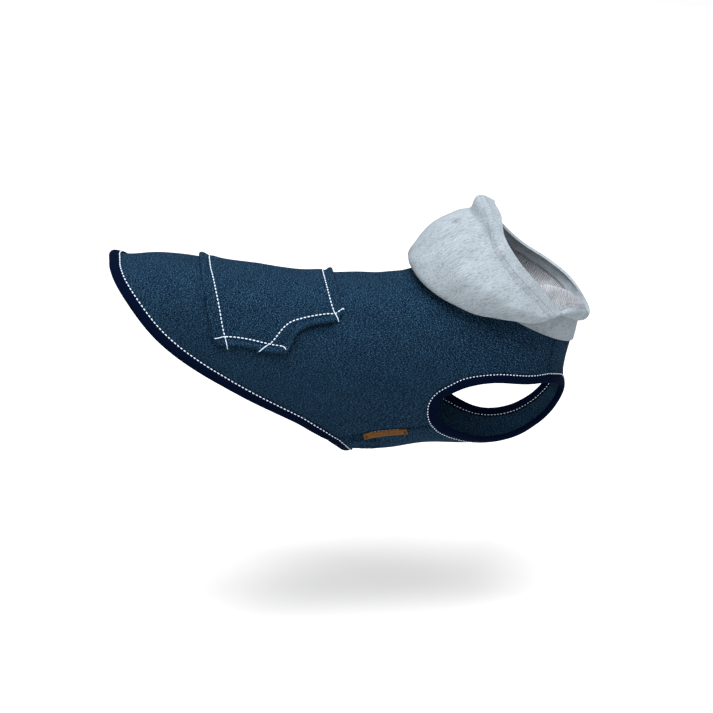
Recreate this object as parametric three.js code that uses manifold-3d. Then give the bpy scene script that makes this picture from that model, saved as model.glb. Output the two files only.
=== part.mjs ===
// A sleeveless hooded coat for a small dog, in the form that it takes when worn.
// Millimetres, +X towards the head, +Y to the wearer's left, +Z up.
// The origin is on the inside of the back, at the nape seam.
import * as THREE from "three";
import { mergeVertices } from "three/addons/utils/BufferGeometryUtils.js";
import Module from "manifold-3d";

// Driving dimensions
const BACK_RUN = 312; // nape seam to the rearmost section, along X
const CHEST_DEPTH = 170; // spine to sternum
const CHEST_WIDTH = 124; // across the ribs
const BODY_CLOTH = 1.8; // knitted body fabric
const HOOD_CLOTH = 1.6; // lighter jersey of the hood
const SEAM_GAP = 0.3; // between pieces that are sewn together
const BINDING_WIDTH = 10; // from the folded edge to the topstitch
const BINDING_CLOTH = 1.0; // one layer of the binding
const BINDING_GAP = 0.75; // between a layer of the binding and the cloth that it grips
const HOOD_RISE = 66; // front edge of the hood over the nape
const HOOD_LAP = 5; // the hood's base lies this far down over the neck edge
const HOOD_HEM = 12; // width of the hood's turned hem
const HEM_CLOTH = 2.6; // thickness of the turned hem
const POCKET_CLOTH = 1.8;
const POCKET_ROLL = 3.2; // thickness of the pocket's rolled raw edges
const POCKET_ROLL_WIDTH = 6.5; // width of a rolled edge outside its topstitch
const POCKET_ROOM = 3.5; // how far the pocket's loose sides stand off the body
const LABEL_LENGTH = 39;
const LABEL_WIDTH = 6;
const LABEL_CLOTH = 1.2;

const TURN = 2 * Math.PI;
const STEP = 1e-3; // for slopes by differences

function table(columns, rows) {
  const names = columns.split(" ");
  return rows.map((row) => Object.fromEntries(row.map((value, i) => [names[i], value])));
}

// Sections of the torso from the neck to the tail. Runs are shares of BACK_RUN, rises of CHEST_DEPTH
// and half of CHEST_WIDTH / 2. A square of 2 is an ellipse, and more is boxier.
const TORSO = table("at topRun topRise underRun underRise half square underSquare", [
  [0.0, 0.0, 0.0, 0.356, -0.394, 0.81, 2.0, 2.0],
  [0.09, -0.026, -0.012, 0.333, -0.588, 0.9, 2.1, 2.0],
  [0.17, -0.051, -0.021, 0.33, -0.729, 0.97, 2.2, 2.0],
  [0.27, -0.087, -0.035, 0.263, -0.9, 1.0, 2.2, 2.0],
  [0.38, -0.135, -0.053, 0.141, -1.006, 1.0, 2.3, 2.0],
  [0.5, -0.224, -0.062, -0.064, -0.991, 0.98, 2.4, 2.2],
  [0.64, -0.378, -0.038, -0.288, -1.006, 0.98, 2.5, 2.3],
  [0.8, -0.641, 0.038, -0.641, -0.941, 0.98, 2.6, 2.4],
  [1.0, -1.0, 0.108, -1.09, -0.706, 0.94, 2.8, 2.4],
]);

// Rear hem from the spine to the belly: round is the share of half a turn, at the torso section.
const HEM = table("round at", [
  [0.0, 0.982],
  [0.08, 0.981],
  [0.16, 0.972],
  [0.24, 0.951],
  [0.37, 0.904],
  [0.48, 0.849],
  [0.58, 0.787],
  [0.69, 0.718],
  [0.73, 0.699],
  [0.77, 0.6815],
  [0.81, 0.6685],
  [0.86, 0.66],
  [0.93, 0.656],
  [1.0, 0.655],
]);

// Seam between the body panel and the belly panel, from the neck to the rear hem.
const SIDE_SEAM = table("at round", [
  [0.0, 0.755],
  [0.1, 0.76],
  [0.3, 0.75],
  [0.5, 0.737],
  [0.6, 0.745],
  [0.68, 0.78],
  [1.0, 0.79],
]);

// Folded edge of the right armhole, once round from its front end. The left one mirrors it.
const ARMHOLE = table("at round", [
  [0.147, 0.872],
  [0.16, 0.77],
  [0.196, 0.69],
  [0.254, 0.59],
  [0.314, 0.536],
  [0.369, 0.522],
  [0.412, 0.547],
  [0.447, 0.593],
  [0.461, 0.66],
  [0.457, 0.73],
  [0.432, 0.8],
  [0.39, 0.865],
  [0.32, 0.895],
  [0.24, 0.905],
  [0.18, 0.905],
]);

// The pocket from its rear edge to its front edge: side is the round of its side edges.
const POCKET = table("along side", [
  [0.0, 0.345],
  [0.2, 0.34],
  [0.4, 0.352],
  [0.5, 0.34],
  [0.56, 0.28],
  [0.66, 0.244],
  [0.8, 0.226],
  [0.93, 0.212],
  [1.0, 0.185],
]);
const POCKET_REAR = 0.837; // torso section of the rear edge
const POCKET_FRONT = 0.607;
const MOUTH_START = 0.45; // share along the pocket where its slanted mouths begin
const MOUTH_RAMP = 0.12; // share over which they open
const MOUTH_ROOM = 0.6; // how much of the pocket's room they keep
const REAR_DIP = 0.018; // the ends of its rear edge stand this much further forward

// Profiles of the hood round the neck, from the nape over the right side, the throat and the left.
// Out is the distance from the neck's axis in half heights of the neck edge, up the height over that edge
// in HOOD_RISE: the roll by the neck, the lowest hang of the drape, its cheek and crown, then the root,
// the crest and the rim of the turned hem.
const HOOD = table(
  "round rollOut rollUp hangOut hangUp cheekOut cheekUp crownOut crownUp rootOut rootUp crestOut crestUp rimOut rimUp",
  [
    [0.0, 1.16, -0.12, 1.52, -0.24, 1.53, 0.2, 1.33, 0.61, 1.17, 0.75, 1.17, 0.96, 0.92, 0.99],
    [0.05, 1.13, -0.11, 1.47, -0.26, 1.48, 0.2, 1.27, 0.6, 1.12, 0.74, 1.1, 0.93, 0.92, 0.97],
    [0.1, 1.03, -0.1, 1.28, -0.27, 1.37, 0.12, 1.2, 0.44, 1.04, 0.62, 1.01, 0.74, 0.93, 0.8],
    [0.167, 0.87, 0.05, 1.1, -0.17, 1.21, 0.14, 1.13, 0.33, 1.0, 0.48, 0.97, 0.56, 0.88, 0.64],
    [0.208, 0.8, 0.33, 1.06, -0.05, 1.15, 0.16, 1.09, 0.29, 0.99, 0.41, 0.95, 0.49, 0.87, 0.57],
    [0.25, 0.77, 0.53, 1.03, 0.06, 1.1, 0.19, 1.06, 0.27, 0.98, 0.36, 0.94, 0.42, 0.86, 0.49],
    [0.285, 0.77, 0.59, 1.0, 0.17, 1.05, 0.23, 1.03, 0.28, 0.99, 0.33, 0.95, 0.37, 0.89, 0.41],
    [0.32, 0.78, 0.6, 0.95, 0.36, 1.0, 0.36, 1.0, 0.35, 0.985, 0.34, 0.96, 0.34, 0.93, 0.35],
    [0.38, 0.82, 0.55, 0.9, 0.5, 0.94, 0.45, 0.97, 0.42, 0.98, 0.385, 0.985, 0.35, 0.98, 0.31],
    [0.44, 0.88, 0.42, 0.92, 0.41, 0.95, 0.4, 0.975, 0.385, 0.99, 0.37, 1.0, 0.35, 1.01, 0.33],
    [0.5, 0.96, 0.15, 0.97, 0.22, 0.98, 0.26, 0.99, 0.29, 1.0, 0.32, 1.02, 0.35, 1.04, 0.38],
    [0.583, 0.9, 0.12, 0.9, 0.21, 0.91, 0.28, 0.92, 0.33, 0.92, 0.4, 0.9, 0.46, 0.87, 0.5],
    [0.667, 0.86, 0.05, 0.97, 0.12, 1.01, 0.22, 0.99, 0.31, 0.95, 0.39, 0.92, 0.45, 0.87, 0.51],
    [0.75, 0.85, 0.0, 1.03, 0.02, 1.1, 0.16, 1.06, 0.27, 0.98, 0.37, 0.94, 0.44, 0.87, 0.52],
    [0.833, 0.88, -0.05, 1.1, -0.17, 1.21, 0.14, 1.13, 0.33, 1.0, 0.48, 0.97, 0.56, 0.88, 0.64],
    [0.9, 1.03, -0.1, 1.28, -0.27, 1.37, 0.12, 1.2, 0.44, 1.04, 0.62, 1.01, 0.74, 0.93, 0.8],
    [0.95, 1.13, -0.11, 1.47, -0.26, 1.48, 0.2, 1.27, 0.6, 1.12, 0.74, 1.1, 0.93, 0.92, 0.97],
  ],
);

// A column's value at key t, on a smooth curve through the rows. A loop has a period.
function along(rows, key, column, t, period = 0) {
  const last = rows.length - 1;
  const pick = (i) => {
    if (!period) return [rows[i][key], rows[i][column]];
    const n = rows.length;
    const laps = Math.floor(i / n);
    return [rows[i - laps * n][key] + laps * period, rows[i - laps * n][column]];
  };
  const x = period ? t - period * Math.floor(t / period) : t;
  let i = rows.findIndex((row) => row[key] > x) - 1;
  if (i < 0) i = x < rows[0][key] ? 0 : period ? last : last - 1;
  const slope = (k) => {
    const a = period ? k - 1 : Math.max(k - 1, 0);
    const b = period ? k + 1 : Math.min(k + 1, last);
    return (pick(b)[1] - pick(a)[1]) / (pick(b)[0] - pick(a)[0]);
  };
  const [x0, y0] = pick(i);
  const [x1, y1] = pick(i + 1);
  const h = x1 - x0;
  const s = (x - x0) / h;
  const near = (2 * s ** 3 - 3 * s ** 2 + 1) * y0 + (s ** 3 - 2 * s ** 2 + s) * h * slope(i);
  return near + (3 * s ** 2 - 2 * s ** 3) * y1 + (s ** 3 - s ** 2) * h * slope(i + 1);
}

// The centre, the unit vector to the spine, the half height and the half width of a torso section.
function section(at) {
  const value = (column) => along(TORSO, "at", column, at);
  const top = new THREE.Vector3(value("topRun") * BACK_RUN, 0, value("topRise") * CHEST_DEPTH + BODY_CLOTH);
  const under = new THREE.Vector3(
    value("underRun") * BACK_RUN,
    0,
    value("underRise") * CHEST_DEPTH + BODY_CLOTH,
  );
  const centre = top.clone().add(under).multiplyScalar(0.5);
  const spine = top.clone().sub(under);
  const halfHeight = spine.length() / 2;
  spine.normalize();
  const halfWidth = (value("half") * CHEST_WIDTH) / 2;
  return { centre, spine, halfHeight, halfWidth, square: value("square"), underSquare: value("underSquare") };
}

// A point of the torso's outer face. turn is 0 at the spine, a quarter on the right, a half at the belly.
function torsoPoint(at, turn) {
  const s = section(at);
  const across = Math.sin(turn);
  const rise = Math.cos(turn);
  const power = s.square + ((s.underSquare - s.square) * (1 - rise)) / 2;
  const size =
    (Math.abs(across / s.halfWidth) ** power + Math.abs(rise / s.halfHeight) ** power) ** (-1 / power);
  return s.centre
    .clone()
    .addScaledVector(s.spine, size * rise)
    .add(new THREE.Vector3(0, -size * across, 0));
}

// The slopes of the torso's face along and around it, and its outward normal.
function torsoSlopes(at, turn) {
  const alongIt = torsoPoint(at + STEP, turn)
    .sub(torsoPoint(at - STEP, turn))
    .divideScalar(2 * STEP);
  const aroundIt = torsoPoint(at, turn + STEP)
    .sub(torsoPoint(at, turn - STEP))
    .divideScalar(2 * STEP);
  const normal = alongIt.clone().cross(aroundIt).normalize();
  return { alongIt, aroundIt, normal };
}

// A point that stands off the torso's outer face.
function offTorso(at, turn, off) {
  return torsoPoint(at, turn).addScaledVector(torsoSlopes(at, turn).normal, off);
}

function geometryOf(points, faces) {
  const geometry = new THREE.BufferGeometry();
  geometry.setAttribute("position", new THREE.Float32BufferAttribute(points.flatMap((p) => p.toArray()), 3));
  geometry.setIndex(faces.flat());
  return geometry;
}

// A closed sheet of cloth over a grid of rows and columns. outer(i, j) and inner(i, j) give its two faces,
// and a looped sheet has its last column joined to its first.
function clothSheet(rows, columns, outer, inner, looped = false) {
  const points = [];
  const wide = looped ? columns : columns + 1;
  for (const face of [outer, inner])
    for (let i = 0; i <= rows; i++) for (let j = 0; j < wide; j++) points.push(face(i, j));
  const layer = (rows + 1) * wide;
  const out = (i, j) => i * wide + (j % wide);
  const inn = (i, j) => layer + out(i, j);
  const faces = [];
  const quad = (a, b, c, d) => faces.push([a, b, c], [a, c, d]);
  for (let i = 0; i < rows; i++)
    for (let j = 0; j < columns; j++) {
      quad(out(i, j), out(i + 1, j), out(i + 1, j + 1), out(i, j + 1));
      quad(inn(i, j), inn(i, j + 1), inn(i + 1, j + 1), inn(i + 1, j));
    }
  for (let j = 0; j < columns; j++) {
    quad(out(0, j), out(0, j + 1), inn(0, j + 1), inn(0, j));
    quad(out(rows, j), inn(rows, j), inn(rows, j + 1), out(rows, j + 1));
  }
  if (!looped)
    for (let i = 0; i < rows; i++) {
      quad(out(i, 0), inn(i, 0), inn(i + 1, 0), out(i + 1, 0));
      quad(out(i, columns), out(i + 1, columns), inn(i + 1, columns), inn(i, columns));
    }
  return geometryOf(points, faces);
}

const wasm = await Module();
wasm.setup();

function toSolid(geometry) {
  const bare = geometry.clone();
  bare.deleteAttribute("normal");
  bare.deleteAttribute("uv");
  const merged = mergeVertices(bare, 1e-4);
  return new wasm.Manifold(
    new wasm.Mesh({
      numProp: 3,
      vertProperties: merged.getAttribute("position").array,
      triVerts: new Uint32Array(merged.index.array),
    }),
  );
}

function toGeometry(solid) {
  const mesh = solid.getMesh();
  const geometry = new THREE.BufferGeometry();
  geometry.setAttribute("position", new THREE.BufferAttribute(mesh.vertProperties, 3));
  geometry.setIndex(new THREE.BufferAttribute(mesh.triVerts, 1));
  return geometry;
}

// Edges on the torso

function hemAt(turn) {
  const half = Math.abs(turn - TURN * Math.round(turn / TURN));
  return along(HEM, "round", "at", half / Math.PI);
}

function seamTurn(at) {
  return along(SIDE_SEAM, "at", "round", at) * Math.PI;
}

// How far the section value moves for a length of cloth along the torso.
function sectionsFor(length, at, turn) {
  return length / torsoSlopes(at, turn).alongIt.length();
}

// A point of an edge's neighbourhood: in goes into the cloth across the edge, off stands off its face.
// The edge is a loop of section values and turns, and side says on which side of it the cloth lies.
function besideEdge(edge, i, side, into, off) {
  const n = edge.length;
  const here = edge[i % n];
  const { alongIt, aroundIt, normal } = torsoSlopes(here.at, here.turn);
  const before = edge[(i + n - 1) % n];
  const after = edge[(i + 1) % n];
  const ahead = torsoPoint(after.at, after.turn).sub(torsoPoint(before.at, before.turn)).normalize();
  const inward = normal.clone().cross(ahead).normalize().multiplyScalar(side);
  const aa = alongIt.dot(alongIt);
  const ar = alongIt.dot(aroundIt);
  const rr = aroundIt.dot(aroundIt);
  const ia = inward.dot(alongIt);
  const ir = inward.dot(aroundIt);
  const whole = aa * rr - ar * ar;
  const dAt = (ia * rr - ir * ar) / whole;
  const dTurn = (ir * aa - ia * ar) / whole;
  return offTorso(here.at + into * dAt, here.turn + into * dTurn, off);
}

function hemEdge(count) {
  return Array.from({ length: count }, (_, i) => {
    const turn = (i / count) * TURN;
    return { at: hemAt(turn), turn };
  });
}

// mirror is 1 for the right armhole and -1 for the left.
function armholeEdge(count, mirror) {
  const rows = ARMHOLE.map((row, i) => ({ step: i / ARMHOLE.length, ...row }));
  return Array.from({ length: count }, (_, i) => {
    const step = i / count;
    const turn = along(rows, "step", "round", step, 1) * Math.PI * mirror;
    return { at: along(rows, "step", "at", step, 1), turn };
  });
}

// A strip of doubled cloth folded over an edge of the body: a C in section, open towards the cloth.
// grown makes it fatter on every side, to pare the cloth that it has to clear.
function binding(edge, side, grown = 0) {
  const low = -BODY_CLOTH;
  const t = BINDING_CLOTH;
  const near = BINDING_GAP - grown;
  const far = BINDING_GAP + grown;
  const width = BINDING_WIDTH + grown;
  const profile = [
    [width, near],
    [width, far + t],
    [BINDING_WIDTH / 2, far + 1.3 * t],
    [-grown, far],
    [-grown, low - far],
    [BINDING_WIDTH / 2, low - far - 1.2 * t],
    [width, low - far - t],
    [width, low - near],
    [t + near, low - near],
    [t + near, near],
  ];
  const count = edge.length;
  const points = [];
  for (let i = 0; i < count; i++)
    for (const [into, off] of profile) points.push(besideEdge(edge, i, side, into, off));
  const n = profile.length;
  const faces = [];
  for (let i = 0; i < count; i++)
    for (let k = 0; k < n; k++) {
      const a = i * n + k;
      const b = i * n + ((k + 1) % n);
      const c = ((i + 1) % count) * n + ((k + 1) % n);
      const d = ((i + 1) % count) * n + k;
      faces.push(side > 0 ? [a, b, c] : [a, c, b], side > 0 ? [a, c, d] : [a, d, c]);
    }
  return geometryOf(points, faces);
}

// The space that an armhole takes out of the cloth, up to where its binding grips.
function armholeCutter(edge, side) {
  const into = BINDING_CLOTH + 2 * BINDING_GAP;
  const reach = BODY_CLOTH * 6;
  const count = edge.length;
  const points = [];
  for (const off of [reach, -reach])
    for (let i = 0; i < count; i++) points.push(besideEdge(edge, i, side, into, off));
  const mean = edge.reduce((sum, e) => [sum[0] + e.at / count, sum[1] + e.turn / count], [0, 0]);
  points.push(offTorso(mean[0], mean[1], reach * 3), offTorso(mean[0], mean[1], -reach * 3));
  const faces = [];
  for (let i = 0; i < count; i++) {
    const j = (i + 1) % count;
    faces.push([i, j, 2 * count], [count + j, count + i, 2 * count + 1]);
    faces.push([j, i, count + i], [j, count + i, count + j]);
  }
  const turned = side < 0 ? faces : faces.map(([a, b, c]) => [a, c, b]);
  return toSolid(geometryOf(points, turned));
}

const HEM_STEPS = 60;
const ARMHOLE_STEPS = 38;
const PANEL_ROWS = 20;
const rightArmhole = armholeEdge(ARMHOLE_STEPS, 1);
const leftArmhole = armholeEdge(ARMHOLE_STEPS, -1);

// The armholes are cut out, and the flat facets by them are pared where a binding needs its clearance.
function cutArmholes(geometry) {
  let solid = toSolid(geometry);
  for (const [edge, side] of [
    [rightArmhole, -1],
    [leftArmhole, 1],
  ]) {
    solid = solid.subtract(armholeCutter(edge, side));
    solid = solid.subtract(toSolid(binding(edge, side, SEAM_GAP)));
  }
  solid = solid.subtract(toSolid(binding(hemEdge(HEM_STEPS), 1, SEAM_GAP)));
  return toGeometry(solid);
}

// Last section of the cloth on a line down the panel: it stops inside the folded binding.
function clothEnd(turnOf) {
  let at = 0.8;
  for (let i = 0; i < 20; i++) at = (at + hemAt(turnOf(at))) / 2;
  const turn = turnOf(at);
  const { alongIt, aroundIt, normal } = torsoSlopes(at, turn);
  const slant = (hemAt(turn + STEP) - hemAt(turn - STEP)) / (2 * STEP);
  const ahead = aroundIt.clone().addScaledVector(alongIt, slant).normalize();
  const inward = normal.clone().cross(ahead);
  return at + (BINDING_CLOTH + 2 * BINDING_GAP) / alongIt.dot(inward);
}

function panel(rows, columns, turnOf) {
  const ends = Array.from({ length: columns + 1 }, (_, j) => clothEnd((at) => turnOf(at, j / columns)));
  const face = (off) => (i, j) => {
    const at = (i / rows) * ends[j];
    return offTorso(at, turnOf(at, j / columns), off);
  };
  return clothSheet(rows, columns, face(0), face(-BODY_CLOTH));
}

// Body panel: back and both sides in one piece, from the neck to the rear hem.
function bodyPanel() {
  const halfGap = SEAM_GAP / CHEST_WIDTH;
  return cutArmholes(
    panel(PANEL_ROWS, 42, (at, share) => (2 * share - 1) * (seamTurn(at) - halfGap)),
  );
}

// Belly panel: under the belly, between the forelegs and up the chest to the throat.
function bellyPanel() {
  const halfGap = SEAM_GAP / CHEST_WIDTH;
  return cutArmholes(
    panel(PANEL_ROWS, 10, (at, share) => {
      const start = seamTurn(at) + halfGap;
      return start + share * (TURN - 2 * start);
    }),
  );
}

// Pocket: one patch over the spine, sewn along its rear, front and lower edges, open at two slanted mouths.
function backPocket() {
  const rows = 14;
  const columns = 16;
  const rim = POCKET_ROLL_WIDTH;
  const place = (i, j) => {
    const share = i / rows;
    const q = (2 * j) / columns - 1;
    const turn = q * along(POCKET, "along", "side", share) * Math.PI;
    const at = POCKET_REAR + (POCKET_FRONT - POCKET_REAR) * share - REAR_DIP * q * q * (1 - share);
    return { share, q, turn, at };
  };
  const stand = ({ share, q, at, turn }) => {
    const { alongIt, aroundIt } = torsoSlopes(at, turn);
    const fromSide = (1 - Math.abs(q)) * along(POCKET, "along", "side", share) * Math.PI * aroundIt.length();
    const length = (POCKET_REAR - POCKET_FRONT) * alongIt.length();
    const fromRear = share * length;
    const fromFront = (1 - share) * length;
    const ramp = THREE.MathUtils.smoothstep;
    const mouth = ramp(share, MOUTH_START, MOUTH_START + MOUTH_RAMP) * ramp(fromFront, rim, 3 * rim);
    const hold = Math.max(ramp(fromSide, rim, 4 * rim), MOUTH_ROOM * mouth);
    const room = POCKET_ROOM * ramp(Math.abs(q), 0.1, 0.6) * ramp(fromRear, rim, 4 * rim) * hold;
    const rolled = 1 - ramp(Math.min(fromSide, fromRear, fromFront), 0.7 * rim, 1.1 * rim);
    return {
      low: 2.5 * SEAM_GAP + room * ramp(fromFront, rim, 3 * rim),
      thick: POCKET_CLOTH + (POCKET_ROLL - POCKET_CLOTH) * rolled,
    };
  };
  const face = (outer) => (i, j) => {
    const p = place(i, j);
    const { low, thick } = stand(p);
    return offTorso(p.at, p.turn, low + (outer ? thick : 0));
  };
  return clothSheet(rows, columns, face(false), face(true));
}

// Hood: one sheet from the neck seam out over the shoulders and back up to its turned front hem.
const neck = section(0);
const neckAxis = new THREE.Vector3(0, 1, 0).cross(neck.spine).normalize();

function hoodPoint(turn, out, up) {
  return neck.centre
    .clone()
    .addScaledVector(neck.spine, out * neck.halfHeight * Math.cos(turn))
    .addScaledVector(neckAxis, up * HOOD_RISE)
    .add(new THREE.Vector3(0, -out * neck.halfHeight * Math.sin(turn), 0));
}

function hoodProfile(turn) {
  const value = (column) => along(HOOD, "round", column, turn / TURN, 1);
  const stand = 2.5 * SEAM_GAP + HOOD_CLOTH / 2;
  const lap = sectionsFor(HOOD_LAP, 0.02, turn);
  const points = [offTorso(lap, turn, stand), offTorso(0, turn, stand)];
  for (const name of ["roll", "hang", "cheek", "crown", "root", "crest", "rim"])
    points.push(hoodPoint(turn, value(name + "Out"), value(name + "Up")));
  return new THREE.CatmullRomCurve3(points, false, "centripetal");
}

function hood() {
  const rows = 16;
  const columns = 38;
  const profiles = Array.from({ length: columns }, (_, j) => hoodProfile((j / columns) * TURN));
  const grid = profiles.map((curve) => curve.getSpacedPoints(rows));
  const lengths = profiles.map((curve) => curve.getLength());
  const normal = (i, j) => {
    const up = grid[j][Math.min(i + 1, rows)].clone().sub(grid[j][Math.max(i - 1, 0)]);
    const next = grid[(j + 1) % columns][i].clone().sub(grid[(j + columns - 1) % columns][i]);
    return up.cross(next).normalize();
  };
  const face = (side) => (i, j) => {
    const fromRim = (1 - i / rows) * lengths[j];
    const hem = 1 - THREE.MathUtils.smoothstep(fromRim, 0.9 * HOOD_HEM, 1.1 * HOOD_HEM);
    const thick = HOOD_CLOTH + (HEM_CLOTH - HOOD_CLOTH) * hem;
    return grid[j][i].clone().addScaledVector(normal(i, j), (side * thick) / 2);
  };
  return clothSheet(rows, columns, face(1), face(-1), true);
}

// Label: a bare folded tag of brown leathercloth, stitched into the right side seam.
const LABEL_SECTION = 0.575; // torso section of its middle
const LABEL_TUCK = 0.01; // its long edge is this turn above the seam

function sideLabel() {
  const half = sectionsFor(LABEL_LENGTH / 2, LABEL_SECTION, seamTurn(LABEL_SECTION));
  const face = (off) => (i, j) => {
    const at = LABEL_SECTION + half * ((2 * i) / 6 - 1);
    const start = seamTurn(at) - LABEL_TUCK;
    const turn = start + ((j / 2) * LABEL_WIDTH) / torsoSlopes(at, start).aroundIt.length();
    return offTorso(at, turn, off);
  };
  const low = 2 * SEAM_GAP;
  return clothSheet(6, 2, face(low + LABEL_CLOTH), face(low));
}

const bodyKnit = { color: 0x2a4666, roughness: 0.95, metalness: 0 };
const navyRib = { color: 0x05183a, roughness: 0.9, metalness: 0 };
const greyJersey = { color: 0xbac8d3, roughness: 0.95, metalness: 0 };
const brownTag = { color: 0x8a5f35, roughness: 0.6, metalness: 0 };

const coat = new THREE.Group();
for (const [name, geometry, finish] of [
  ["body_panel", bodyPanel(), bodyKnit],
  ["belly_panel", bellyPanel(), bodyKnit],
  ["hem_binding", binding(hemEdge(HEM_STEPS), 1), navyRib],
  ["armhole_binding_right", binding(rightArmhole, -1), navyRib],
  ["armhole_binding_left", binding(leftArmhole, 1), navyRib],
  ["back_pocket", backPocket(), bodyKnit],
  ["hood", hood(), greyJersey],
  ["side_label", sideLabel(), brownTag],
]) {
  const mesh = new THREE.Mesh(geometry, new THREE.MeshStandardMaterial(finish));
  mesh.name = name;
  coat.add(mesh);
}

export default coat;
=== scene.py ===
import bpy
import math
import numpy as np
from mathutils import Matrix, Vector


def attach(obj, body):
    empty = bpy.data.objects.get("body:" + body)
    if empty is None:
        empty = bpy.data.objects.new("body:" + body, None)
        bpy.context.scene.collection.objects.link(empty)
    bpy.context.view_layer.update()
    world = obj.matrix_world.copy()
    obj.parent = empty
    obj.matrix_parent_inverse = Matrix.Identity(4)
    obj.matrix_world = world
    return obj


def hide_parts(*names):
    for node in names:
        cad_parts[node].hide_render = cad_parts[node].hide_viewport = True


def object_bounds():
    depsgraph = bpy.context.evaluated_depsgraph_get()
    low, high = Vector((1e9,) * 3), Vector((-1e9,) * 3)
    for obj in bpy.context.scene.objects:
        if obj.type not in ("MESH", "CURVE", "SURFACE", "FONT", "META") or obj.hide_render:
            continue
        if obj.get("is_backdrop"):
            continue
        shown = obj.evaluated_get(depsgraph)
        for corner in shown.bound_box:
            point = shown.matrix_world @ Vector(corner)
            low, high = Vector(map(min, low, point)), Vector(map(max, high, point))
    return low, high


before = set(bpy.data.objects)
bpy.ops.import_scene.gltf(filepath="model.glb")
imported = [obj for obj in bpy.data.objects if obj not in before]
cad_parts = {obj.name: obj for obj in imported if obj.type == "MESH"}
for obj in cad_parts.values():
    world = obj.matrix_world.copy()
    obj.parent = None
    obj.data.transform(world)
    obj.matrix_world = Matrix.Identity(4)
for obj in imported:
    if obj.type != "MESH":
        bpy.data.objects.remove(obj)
cad_box = [list(corner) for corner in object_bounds()]

# Camera: off the coat's right flank, a little towards its tail end and well above it, with a
# long lens. All places are in metres, +X towards the head and +Z up.
bpy.ops.object.select_all(action="DESELECT")
aim = Vector((-0.0846, 0.0, -0.0844))
sight = Vector((0.0955, 0.9086, -0.4067)).normalized()
bpy.ops.object.camera_add(location=aim - 2.1 * sight)
camera = bpy.context.object
camera.rotation_euler = sight.to_track_quat("-Z", "Y").to_euler()
camera.data.sensor_width = 36.0
camera.data.lens = 117.8
camera.data.clip_end = 50.0
bpy.context.scene.camera = camera

# Studio: a white floor well under the coat, which hangs as worn, and a soft light from above
# and in front with a weaker one from each end of the coat.
bpy.ops.object.select_all(action="DESELECT")
bpy.ops.mesh.primitive_plane_add(size=16, location=(0, 0, -0.34))
floor = bpy.context.object
floor.name = "studio_floor"
white = bpy.data.materials.new("studio white")
white.use_nodes = True
paint = white.node_tree.nodes["Principled BSDF"]
paint.inputs["Base Color"].default_value = (0.72, 0.72, 0.72, 1)
paint.inputs["Roughness"].default_value = 0.9
floor.data.materials.append(white)
floor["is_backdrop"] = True

# Each lamp's place, power in watts and size.
LAMPS = [((-0.4, -0.8, 3.5), 290, 3.0), ((1.5, -0.4, 0.9), 5, 1.4), ((-1.6, 0.6, 1.2), 5, 1.4)]
for place, power, size in LAMPS:
    bpy.ops.object.light_add(type="AREA", location=place)
    lamp = bpy.context.object
    lamp.data.energy = power
    lamp.data.size = size
    lamp.rotation_euler = (aim - Vector(place)).to_track_quat("-Z", "Y").to_euler()
sky = bpy.data.worlds.new("studio sky")
sky.use_nodes = True
sky.node_tree.nodes["Background"].inputs["Color"].default_value = (1.0, 1.0, 1.0, 1)
sky.node_tree.nodes["Background"].inputs["Strength"].default_value = 0.52
bpy.context.scene.world = sky
bpy.context.scene.view_settings.view_transform = "Standard"


# Body panel: back and both sides of the coat in one piece of blue marl sweatshirt knit, 1.8 mm
# thick. It is cut as one flat piece, laid round the worn form and sewn to the belly panel.
BACK_RUN = 0.312
CHEST_DEPTH = 0.170
CHEST_WIDTH = 0.124
BODY_CLOTH = 0.0018
# The worn form is lofted through sections from the neck to the tail. Runs are in back lengths,
# rises in chest depths and halves in half chest widths; a square of 2 is an ellipse.
TORSO = np.array([
    # at, top run, top rise, under run, under rise, half, square, under square
    [0.0, 0.0, 0.0, 0.356, -0.394, 0.81, 2.0, 2.0],
    [0.09, -0.026, -0.012, 0.333, -0.588, 0.9, 2.1, 2.0],
    [0.17, -0.051, -0.021, 0.33, -0.729, 0.97, 2.2, 2.0],
    [0.27, -0.087, -0.035, 0.263, -0.9, 1.0, 2.2, 2.0],
    [0.38, -0.135, -0.053, 0.141, -1.006, 1.0, 2.3, 2.0],
    [0.5, -0.224, -0.062, -0.064, -0.991, 0.98, 2.4, 2.2],
    [0.64, -0.378, -0.038, -0.288, -1.006, 0.98, 2.5, 2.3],
    [0.8, -0.641, 0.038, -0.641, -0.941, 0.98, 2.6, 2.4],
    [1.0, -1.0, 0.108, -1.09, -0.706, 0.94, 2.8, 2.4],
])
# Edges on that form. At is the section, and round goes from 0 on the spine to 1 under the belly.
HEM = np.array([
    # round, at
    [0.0, 0.982], [0.08, 0.981], [0.16, 0.972], [0.24, 0.951], [0.37, 0.904], [0.48, 0.849],
    [0.58, 0.787], [0.69, 0.718], [0.73, 0.699], [0.77, 0.6815], [0.81, 0.6685], [0.86, 0.66],
    [0.93, 0.656], [1.0, 0.655],
])
SIDE_SEAM = np.array([
    # at, round
    [0.0, 0.755], [0.1, 0.76], [0.3, 0.75], [0.5, 0.737], [0.6, 0.745], [0.68, 0.78], [1.0, 0.79],
])
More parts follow.
